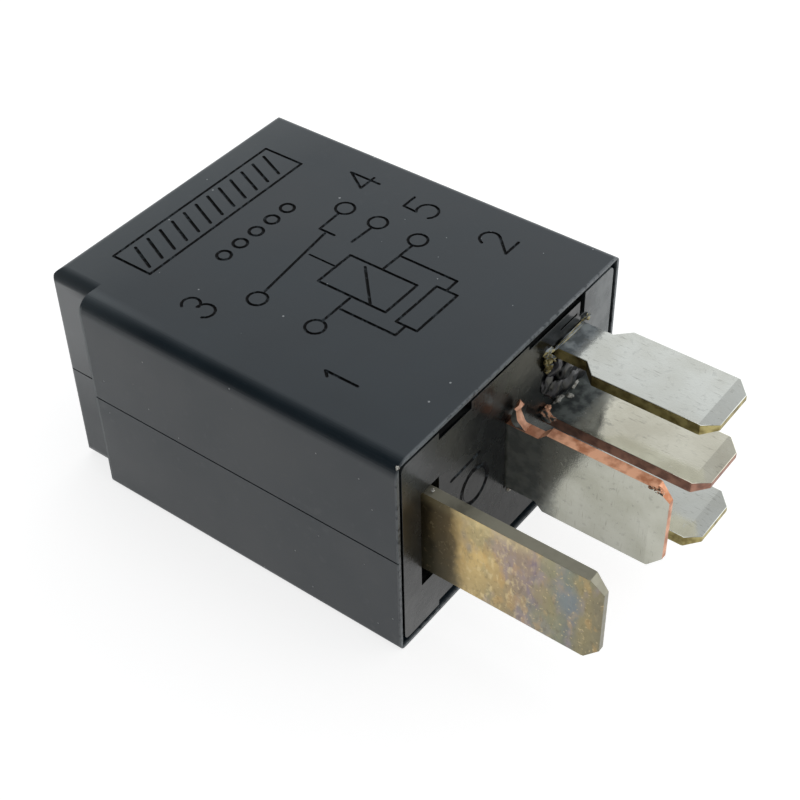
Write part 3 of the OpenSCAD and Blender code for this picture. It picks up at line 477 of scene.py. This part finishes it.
# %% [markdown]
# ## Finishes inside the relay
# Nobody sees these with the cover on, but a part that may be opened needs them:
# plated soft iron, the bobbin's pale plastic, enamelled wire, tape, spring
# bronze, silver contacts and a lacquered resistor.

# %% Inner metals
def plain(name, light, dark, dull, size, skin, **shader):
    """Clouds of `size` between two close colours and two roughnesses, under a fine grain."""
    material, tree, bsdf = new_material(name, **shader)
    cloud = use(tree, blotches, Size=size, Low=0.35, High=0.65)
    tree.links.new(mix(tree, cloud, colour(*light), colour(*dark)), bsdf.inputs["Base Color"])
    tree.links.new(mix_value(tree, cloud, *dull), bsdf.inputs["Roughness"])
    tree.links.new(bump(tree, use(tree, grain, Size=skin[0]), 0.3, skin[1]), bsdf.inputs["Normal"])
    return material


METAL = {"skin": (0.1, 0.01), "Metallic": 1.0}
soft_iron = plain("soft_iron", (186, 186, 180), (158, 158, 152), (0.3, 0.4), 1.5, **METAL)
rivet_steel = plain("rivet_steel", (180, 180, 176), (150, 150, 146), (0.3, 0.42), 0.6, **METAL)
spring_bronze = plain("spring_bronze", (206, 168, 112), (184, 144, 92), (0.22, 0.3), 1.5, **METAL)
contact_silver = plain("contact_silver", (224, 222, 214), (198, 194, 184), (0.25, 0.4), 0.4, **METAL)
print("inner metals: 4")

# %% Bobbin, tape and lacquer
bobbin_plastic = plain("bobbin_plastic", (222, 216, 196), (212, 204, 182), (0.4, 0.5), 3.0, (0.1, 0.02))
tape = plain("tape", (196, 158, 62), (182, 142, 50), (0.2, 0.3), 2.0, (0.4, 0.02))
resistor_lacquer = plain("resistor_lacquer", (92, 132, 158), (80, 118, 144), (0.25, 0.35), 1.0, (0.2, 0.02))
print("bobbin, tape, lacquer")

# %% Enamelled wire, with its turns
copper_wire, tree, bsdf = new_material("copper_wire", Roughness=0.35, Coat_Weight=0.6, Coat_Roughness=0.15)
cloud = use(tree, blotches, Size=1.2, Low=0.4, High=0.6)
tree.links.new(mix(tree, cloud, colour(176, 92, 48), colour(148, 70, 34)), bsdf.inputs["Base Color"])
turns = add(tree, "ShaderNodeTexWave", {"Vector": millimetres(tree), "Scale": 1.45, "Distortion": 0.15},
            wave_type="BANDS", bands_direction="X")
tree.links.new(bump(tree, turns.outputs[1], 0.7, 0.06), bsdf.inputs["Normal"])
print("copper_wire")

# %% [markdown]
# ## Finishes on the solids
# Every solid gets its finish in its first material slot. The pieces inside keep
# their shape. The housing and the blades are replaced further down by softer
# copies with the same finish, and the spring by a plain copy with its finish.

# %% Give the solids their finish
finishes = {
    "sealant": resin, "terminal_1": tinned_brass, "terminal_2": tinned_brass, "terminal_3": stained,
    "terminal_4": tinned_copper_up, "terminal_5": tinned_copper, "yoke": soft_iron, "core": soft_iron,
    "bobbin": bobbin_plastic, "winding": copper_wire, "coil_tape": tape, "coil_leads": copper_wire,
    "armature": soft_iron, "leaf_spring": spring_bronze, "yoke_rivets": rivet_steel,
    "armature_rivets": rivet_steel, "moving_contact": contact_silver, "contact_closed": contact_silver,
    "contact_open": contact_silver, "resistor": resistor_lacquer, "resistor_caps": rivet_steel,
    "resistor_leads": rivet_steel, "cover": cover_plastic, "base": base_plastic,
}
for name, material in finishes.items():
    nodes[name].data.materials.clear()
    nodes[name].data.materials.append(material)
print("finished solids:", len(finishes), "of", len(nodes))

# %% [markdown]
# ## Tools for pieces
# The loaded solids are loose triangles. A copy whose doubled points are merged
# and whose flat areas are joined can take a bevel. No real edge is perfectly
# sharp, and the thin highlight on a rounded edge is what makes a piece look
# made of something.

# %% Merge, soften, place
def merged(name):
    bm = bmesh.new()
    bm.from_mesh(nodes[name].data)
    bmesh.ops.remove_doubles(bm, verts=bm.verts, dist=1e-7)
    bmesh.ops.dissolve_limit(bm, angle_limit=math.radians(0.5), verts=bm.verts, edges=bm.edges)
    return bm


FOLD = 25            # degrees: a smaller fold is a facet of a curve, not an edge
LARGE = 0.5          # square millimetres: a larger face is flat


def soften(bm, width, keep=lambda edge: True):
    sharp = [e for e in bm.edges if e.is_manifold and e.calc_face_angle(0) > math.radians(FOLD) and keep(e)]
    bmesh.ops.bevel(bm, geom=sharp, offset=width * MM, offset_type="OFFSET", segments=2,
                    profile=0.5, affect="EDGES", clamp_overlap=True, material=-1)
    return len(sharp)


def shade(mesh, smooth=30):
    """Small faces shade smoothly over folds of up to `smooth` degrees; large ones stay flat."""
    mesh.shade_smooth()
    mesh.set_sharp_from_angle(angle=math.radians(smooth))
    for polygon in mesh.polygons:
        if polygon.area > LARGE * MM * MM:
            polygon.use_smooth = False


def place(bm, name, body, material, smooth=30):
    mesh = bpy.data.meshes.new(name)
    bm.to_mesh(mesh)
    bm.free()
    if "custom_normal" in mesh.attributes:
        mesh.attributes.remove(mesh.attributes["custom_normal"])
    shade(mesh, smooth)
    mesh.materials.append(material)
    obj = bpy.data.objects.new(name, mesh)
    bpy.context.scene.collection.objects.link(obj)
    if body:
        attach(obj, body)
    return obj


# %% [markdown]
# ## The engraved marks
# The cover carries a plain wiring diagram: five pins as small rings with their
# numbers, the switch arm, the coil as a box with a slanted line, and the
# resistor beside it. Two more fields hold only a hatch and rings.
#
# Each stroke is cut with a V-shaped tool, like an engraver's. The cutters are
# all one mesh, and one boolean takes them out of the cover. On the face, `u`
# runs across the relay and `v` away from the blades, both from the rim's middle.

# %% One straight stroke of the V-shaped tool
STROKE = 0.17        # width of a groove at the face
DEPTH = 0.09
LIFT = 0.04          # how far the tool stands above the face
TIP = 0.3            # the tool's tip is this share of its width


def on_face(u, v):
    return Vector((rim_x - v * MM, u * MM, top_z))


def tool_end(bm, at, half):
    bmesh.ops.create_cone(bm, cap_ends=True, segments=12, radius1=half * TIP * MM, radius2=half * MM,
                          depth=(DEPTH + LIFT) * MM,
                          matrix=Matrix.Translation(at + Vector((0, 0, (LIFT - DEPTH) / 2 * MM))))


def stroke(bm, a, b, width=STROKE):
    """A V groove from a to b, with round ends."""
    a, b = on_face(*a), on_face(*b)
    half = width / 2 * (DEPTH + LIFT) / DEPTH
    run = b - a
    turn = Matrix.Rotation(math.atan2(run.y, run.x), 4, "Z")
    middle = Matrix.Translation((a + b) / 2 + Vector((0, 0, (LIFT - DEPTH) / 2 * MM)))
    size = Matrix.Diagonal((run.length, 2 * half * MM, (DEPTH + LIFT) * MM, 1))
    bar = bmesh.ops.create_cube(bm, size=1, matrix=middle @ turn @ size)
    across = run.cross(Vector((0, 0, 1))).normalized()
    for v in bar["verts"]:
        if v.co.z < top_z:
            v.co -= across * (v.co - a).dot(across) * (1 - TIP)
    tool_end(bm, a, half)
    tool_end(bm, b, half)


def path(bm, points, width=STROKE):
    for a, b in zip(points, points[1:]):
        stroke(bm, a, b, width)


# %% A curved stroke
def arc(bm, u, v, radius, start=0, turn=360, width=STROKE):
    """The V-shaped section spun round a centre; 0 degrees is to the right, 90 is up."""
    half = width / 2 * (DEPTH + LIFT) / DEPTH
    full = abs(turn) == 360
    centre = on_face(u, v)
    outwards = lambda angle: Vector((-math.sin(math.radians(angle)), math.cos(math.radians(angle)), 0))
    out = outwards(start)
    section = [(-half, LIFT), (half, LIFT), (half * TIP, -DEPTH), (-half * TIP, -DEPTH)]
    loop = [bm.verts.new(centre + out * (radius + r) * MM + Vector((0, 0, z * MM))) for r, z in section]
    ring = [bm.edges.new((loop[k], loop[k - 1])) for k in range(4)]
    made = bmesh.ops.spin(bm, geom=loop + ring, cent=centre, axis=(0, 0, 1), angle=math.radians(turn),
                          steps=max(6, round(abs(turn) / 20)), use_merge=full, use_duplicate=False)
    if not full:
        last = [e for e in made["geom_last"] if isinstance(e, bmesh.types.BMEdge)]
        bmesh.ops.contextual_create(bm, geom=ring)
        bmesh.ops.contextual_create(bm, geom=last)
        for way_out in (out, outwards(start + turn)):
            tool_end(bm, centre + way_out * radius * MM, half)


# %% The wiring diagram
cutter = bmesh.new()
PIN_RING = 0.62
pins = {"3": (-4.8, 15.1), "1": (-4.8, 10.7), "4": (5.3, 16.5), "5": (5.3, 13.9), "2": (5.3, 10.8)}
for u, v in pins.values():
    arc(cutter, u, v, PIN_RING)
path(cutter, [(-4.0, 15.2), (2.5, 15.9)])                     # the switch arm
path(cutter, [(2.7, 15.3), (2.7, 16.4)])                      # resting contact
path(cutter, [(2.7, 16.45), (4.6, 16.5)])
path(cutter, [(2.8, 14.0), (4.6, 13.9)])                      # working contact
path(cutter, [(0.3, 13.4), (0.3, 15.3)], 0.13)                # link from the coil to the arm
path(cutter, [(-1.4, 13.25), (1.7, 13.25), (1.7, 8.2), (-1.4, 8.2), (-1.4, 13.25)])   # coil
path(cutter, [(1.3, 11.8), (-1.3, 9.4)])
path(cutter, [(4.6, 10.75), (1.8, 10.8)])                     # coil leads
path(cutter, [(-1.6, 10.7), (-4.1, 10.7)])
path(cutter, [(-1.7, 7.2), (2.3, 7.2), (2.3, 5.7), (-1.7, 5.7), (-1.7, 7.2)])         # resistor
path(cutter, [(3.4, 10.6), (3.4, 6.5), (2.4, 6.5)])
path(cutter, [(-2.7, 10.5), (-2.7, 6.5), (-1.8, 6.5)])
print("cutter faces after the diagram:", len(cutter.faces))

# %% [markdown]
# The numbers are drawn from straight strokes and arcs, on a box 1.4 mm wide and
# 2.3 mm high, so they need no font.

# %% Pin numbers
def numeral(bm, digit, u, v):
    h, w = 1.15, 0.7             # half the height, half the width
    here = lambda points: [(u + x, v + y) for x, y in points]
    if digit == "1":
        path(bm, here([(-0.35, 0.75), (0.0, h), (0.0, -h)]))
    elif digit == "2":
        arc(bm, u, v + 0.5, 0.65, 165, -205)
        path(bm, here([(0.5, 0.09), (-w, -h), (w, -h)]))
    elif digit == "3":
        arc(bm, u - 0.05, v + 0.57, 0.57, 150, -235)
        arc(bm, u - 0.05, v - 0.53, 0.62, 90, -245)
    elif digit == "4":
        path(bm, here([(0.35, -h), (0.35, h), (-w, -0.45), (w, -0.45)]))
    elif digit == "5":
        path(bm, here([(w, h), (-0.45, h), (-0.5, 0.14)]))
        arc(bm, u - 0.05, v - 0.42, 0.72, 128, -270)


numerals = {"3": (-7.4, 17.4), "1": (-7.4, 6.7), "4": (8.3, 17.5), "5": (8.1, 12.5), "2": (8.0, 6.8)}
for digit, (u, v) in numerals.items():
    numeral(cutter, digit, u, v)
print("numbers cut:", len(numerals))

# %% [markdown]
# A moulder marks the batch in a framed field. Here it holds a plain hatch with a
# row of rings below, which stand for no code.

# %% The framed field
FIELD_STROKE = 0.19
path(cutter, [(-6.8, 21.9), (7.5, 21.9), (7.5, 24.95), (-6.8, 24.95), (-6.8, 21.9)])
for k in range(12):
    u = -6.3 + k * 1.1
    path(cutter, [(u, 22.4), (u + 0.9, 24.45)], FIELD_STROKE)
for k in range(5):
    arc(cutter, -2.8 + k * 1.5, 19.5, 0.45, width=FIELD_STROKE)
print("cutter faces in all:", len(cutter.faces))

# %% [markdown]
# ## The cover
# The cover's rim gets a small rounding first, then the cutters go through it.
# The faces that a cutter leaves keep the cutter's material, so the grooves come
# out dull and dark, in a painted shade.

# %% Cut the marks into the cover
def boolean_cut(obj, bm, material):
    bmesh.ops.recalc_face_normals(bm, faces=bm.faces)
    mesh = bpy.data.meshes.new("cutter")
    bm.to_mesh(mesh)
    bm.free()
    mesh.materials.append(material)
    tool = bpy.data.objects.new("cutter", mesh)
    bpy.context.scene.collection.objects.link(tool)
    cut = obj.modifiers.new("marks", "BOOLEAN")
    cut.operation, cut.solver, cut.use_self, cut.object = "DIFFERENCE", "EXACT", True, tool
    cut.material_mode = "TRANSFER"
    bpy.context.view_layer.update()
    done = bpy.data.meshes.new_from_object(obj.evaluated_get(bpy.context.evaluated_depsgraph_get()))
    obj.modifiers.clear()
    obj.data = done
    bpy.data.objects.remove(tool)
    return done


RIM_ZONE = 0.7           # only edges this close to the rim are rounded, in mm
bm = merged("cover")
rounded_edges = soften(bm, 0.1, keep=lambda e: all(v.co.x > rim_x - RIM_ZONE * MM for v in e.verts))
cover = place(bm, "cover_shell", "housing", cover_plastic)
done = boolean_cut(cover, cutter, groove_painted_shade)
shade(done)
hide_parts("cover")
print("cover: rim edges rounded", rounded_edges, "- faces after the cut", len(done.polygons),
      "- materials", [m.name for m in done.materials])

# %% [markdown]
# ## Base plate and blades
# The same copies with softened edges. Stamping rolls one side of an edge over
# and leaves the other sharp, so the rounding stays small. The base also has a
# plain ring and a bar, as a mould leaves them. The same tools draw them as if
# on the marked face, and then the cutters are turned onto the base.

# %% Base plate
def softened(name, piece, width, material):
    bm = merged(name)
    count = soften(bm, width)
    obj = place(bm, piece, "housing", material)
    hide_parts(name)
    print(piece, "edges rounded:", count)
    return obj


base = softened("base", "base_plate", 0.04, base_plastic)
mark = bmesh.new()
arc(mark, 0, 0, 1.3, width=0.34)
path(mark, [(0.45, 2.3), (-2.3, 2.2)], 0.24)
origin = on_face(0, 0)
mark_at = Vector((face_x, -3.85 * MM, 7.9 * MM))
bmesh.ops.rotate(mark, verts=mark.verts, cent=origin, matrix=Matrix.Rotation(math.radians(90), 3, "Y"))
bmesh.ops.translate(mark, verts=mark.verts, vec=mark_at - origin)
done = boolean_cut(base, mark, groove_painted_shade)
shade(done)
print("base plate faces after the mark:", len(done.polygons))

# %% Blades
softened("terminal_1", "blade_1", 0.05, tinned_brass)
softened("terminal_2", "blade_2", 0.05, tinned_brass)
softened("terminal_3", "blade_3", 0.05, stained)
softened("terminal_4", "blade_4", 0.05, tinned_copper_up)
softened("terminal_5", "blade_5", 0.05, tinned_copper)

# %% [markdown]
# ## Burrs, crumbs and resin
# The blades are pressed through tight slots, which shave a little plating off
# at the roots, and the resin that seals the base creeps up beside them. Each
# crumb is a small ball, squashed and then pushed in and out by noise. Every
# ball reads the noise at a place of its own, so that no two look alike.

# %% Balls pushed out of shape
LUMPY = 1.6          # waves of the noise over a ball's radius
APART = 3.2          # how far apart in the noise two balls a millimetre apart are


def crumb(bm, at, size, rough):
    """One lump: `at` and `size` are its middle and its three half widths, in mm."""
    for v in bmesh.ops.create_icosphere(bm, subdivisions=3, radius=1.0)["verts"]:
        swell = 1 + rough * noise.noise(v.co * LUMPY + Vector(at) * APART)
        v.co = Vector(c * r * swell + m for c, r, m in zip(v.co, size, at)) * MM


def crumbs(name, material, rough, lumps):
    bm = bmesh.new()
    for at, size in lumps:
        crumb(bm, at, size, rough)
    obj = place(bm, name, "housing", material, smooth=50)
    print(name, "lumps:", len(lumps))


# %% Resin and crumbs at the roots
crumbs("resin_lumps", resin, 0.4, [
    ((7.95, 4.2, 11.3), (0.35, 0.7, 0.55)), ((8.0, 5.2, 10.7), (0.45, 0.9, 0.8)),
    ((7.9, 6.4, 10.2), (0.35, 0.9, 0.7)), ((7.95, 4.3, 9.7), (0.35, 0.8, 0.7)),
    ((7.95, 5.8, 9.1), (0.4, 1.0, 0.7)), ((7.9, 7.3, 8.9), (0.35, 0.9, 0.6)),
    ((7.85, 3.6, 10.4), (0.2, 0.6, 0.8))])
crumbs("tin_crumbs", tinned_brass, 1.1, [
    ((8.0, 3.35, 12.6), (0.22, 0.28, 0.22)), ((8.05, 3.3, 12.15), (0.25, 0.2, 0.3)),
    ((7.95, 3.4, 11.75), (0.2, 0.25, 0.22)), ((8.2, 3.42, 12.75), (0.25, 0.14, 0.14)),
    ((7.9, 3.6, 12.95), (0.14, 0.4, 0.16)), ((7.92, 7.7, 12.85), (0.14, 0.3, 0.16)),
    ((7.9, 5.8, 12.75), (0.1, 1.6, 0.09))])
crumbs("copper_crumbs", tinned_copper, 1.0, [
    ((8.05, 3.4, 8.0), (0.36, 0.26, 0.36)), ((8.45, 3.46, 8.0), (0.3, 0.14, 0.16)),
    ((7.95, 3.6, 8.4), (0.2, 0.26, 0.24)), ((17.85, -0.5, 10.66), (0.3, 0.2, 0.2)),
    ((17.5, -0.55, 10.74), (0.3, 0.1, 0.1))])
crumbs("white_crumbs", dust_white, 0.7, [
    ((7.72, -10.95, 15.0), (0.1, 0.14, 0.12)), ((7.88, -8.05, 11.0), (0.1, 0.12, 0.09)),
    ((7.84, -0.1, 4.55), (0.1, 0.26, 0.26)), ((7.9, 5.0, 8.14), (0.2, 0.4, 0.12)),
    ((7.92, 6.7, 8.14), (0.24, 0.4, 0.14)), ((8.3, 5.7, 8.08), (0.22, 0.2, 0.06))])

# %% The curl of copper at the root of the large blade
CURL = 0.95          # radius of the curl
blade_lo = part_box("terminal_5")[0]
curl_at = Vector((9.1 * MM, blade_lo.y + 0.4 * MM, (10.2 + CURL) * MM))
bm = bmesh.new()
foot = Matrix.Translation(curl_at - Vector((0, 0, CURL * MM)))
upright = Matrix.Rotation(math.radians(90), 4, "Y")
section = Matrix.Diagonal((0.32 * MM, 0.66 * MM, 1, 1))
bmesh.ops.create_grid(bm, x_segments=2, y_segments=2, size=0.5, matrix=foot @ upright @ section)
bmesh.ops.spin(bm, geom=bm.faces[:] + bm.edges[:] + bm.verts[:], cent=curl_at, axis=(0, 1, 0),
               angle=math.radians(125), steps=12, use_merge=False, use_duplicate=False)
noise.seed_set(3)
for v in bm.verts:                               # crumpled by up to a fifth of a millimetre
    v.co += noise.noise_vector(v.co / MM * 1.9) * 0.2 * MM
bmesh.ops.recalc_face_normals(bm, faces=bm.faces)
curl = place(bm, "copper_curl", "housing", tinned_copper, smooth=50)
print("curl faces:", len(curl.data.polygons))

# %% [markdown]
# ## The leaf spring
# The spring is fixed to the common blade and bends over the end of the yoke to
# carry the armature. It is copied here as one piece and attached to no body.

# %% The spring, copied as one piece
bm = merged("leaf_spring")
spring = place(bm, "flexing_spring", None, spring_bronze)
spring_lo, spring_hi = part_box("leaf_spring")
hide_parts("leaf_spring")
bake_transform(spring)
print("spring from", round(spring_lo.x / MM, 1), "to", round(spring_hi.x / MM, 1), "mm")

# %% [markdown]
# ## Floor and light
# A pale floor fills the view, as a sheet of paper would in a product studio.
# A soft lamp hangs above and a weaker one stands at the side. The marked face
# and the flat blades mirror the room behind the relay, which is bright like a
# white wall and dims towards the ceiling. On the viewer's side the room is
# dark, so rounded edges that face that way go dark and draw the shape.

# %% The floor
floor_z = cad_box[0].z - 0.02 * MM
bm = bmesh.new()
bmesh.ops.create_circle(bm, cap_ends=True, segments=96, radius=2.5,
                        matrix=Matrix.Translation((0, 0, floor_z)))
mesh = bpy.data.meshes.new("floor")
bm.to_mesh(mesh)
bm.free()
floor = bpy.data.objects.new("floor", mesh)
bpy.context.scene.collection.objects.link(floor)

# %% Paper, dimmer in mirrors between the blades
paper = bpy.data.materials.new("paper")
paper.use_nodes = True
tree = paper.node_tree
tree.nodes.clear()
rays = add(tree, "ShaderNodeLightPath")
between = (11.2 * MM, 2.5 * MM, floor_z)
away = distance(tree, add(tree, "ShaderNodeTexCoord").outputs["Object"], between)
shaded = ramp(tree, away, 3 * MM, 11 * MM, 0.45, 1.0)
mirrored = maths(tree, "MAXIMUM", rays.outputs["Is Glossy Ray"], rays.outputs["Is Transmission Ray"])
seen = maths(tree, "MAXIMUM", rays.outputs["Is Camera Ray"], times(tree, mirrored, shaded))
sheet = add(tree, "ShaderNodeBsdfDiffuse", {"Color": (0.45, 0.45, 0.45, 1)})
lift = add(tree, "ShaderNodeEmission", {"Color": (1, 1, 1, 1), "Strength": times(tree, seen, 0.8)})
both = add(tree, "ShaderNodeAddShader", {0: sheet.outputs[0], 1: lift.outputs[0]})
out = add(tree, "ShaderNodeOutputMaterial", {"Surface": both.outputs[0]})
mesh.materials.append(paper)
print("floor at z, mm:", round(floor_z / MM, 2))

# %% The lamps
def lamp(name, where, size, radiance, tint=(1, 1, 1)):
    """A square soft lamp that looks at the relay, by how bright its face is."""
    data = bpy.data.lights.new(name, "AREA")
    data.size = size
    data.energy = radiance * math.pi * size * size
    data.color = tint
    obj = bpy.data.objects.new(name, data)
    obj.location = where
    obj.rotation_euler = (-Vector(where)).to_track_quat("-Z", "Y").to_euler()
    bpy.context.scene.collection.objects.link(obj)


lamp("overhead_softbox", (0.1, 0.02, 0.5), 0.36, 1.05)
lamp("side_fill", (0.3, -0.34, 0.24), 0.3, 0.3, (1.0, 0.98, 0.95))

# %% The world
world = bpy.data.worlds.new("room")
bpy.context.scene.world = world
world.use_nodes = True
tree = world.node_tree
tree.nodes.clear()
look = add(tree, "ShaderNodeSeparateXYZ", {0: add(tree, "ShaderNodeTexCoord").outputs["Generated"]})
wall = ramp(tree, look.outputs[2], 0.5, 0.74, 1.35, 0.45)          # bright wall, dimmer ceiling
behind = ramp(tree, look.outputs[1], -0.3, 0.4, 0.08, 1.0)         # dark on the viewer's side
window = ramp(tree, look.outputs[0], -0.46, -0.28, 1.0, 1.35)      # a window wall beyond the blades
bright = times(tree, times(tree, wall, window), behind)
sky = add(tree, "ShaderNodeBackground", {"Color": (0.97, 0.99, 1.0, 1), "Strength": bright})
add(tree, "ShaderNodeOutputWorld", {"Surface": sky.outputs[0]})
bpy.context.scene.view_settings.view_transform = "Standard"        # colours as they are, no film curve

# %% [markdown]
# ## Finish
# The size of the solid model, measured when it was loaded, is printed. The scene must
# not grow past the solid model.

# %% Sizes, and the end
print("solid model, mm:", [round(v / MM, 2) for v in cad_box[1] - cad_box[0]])
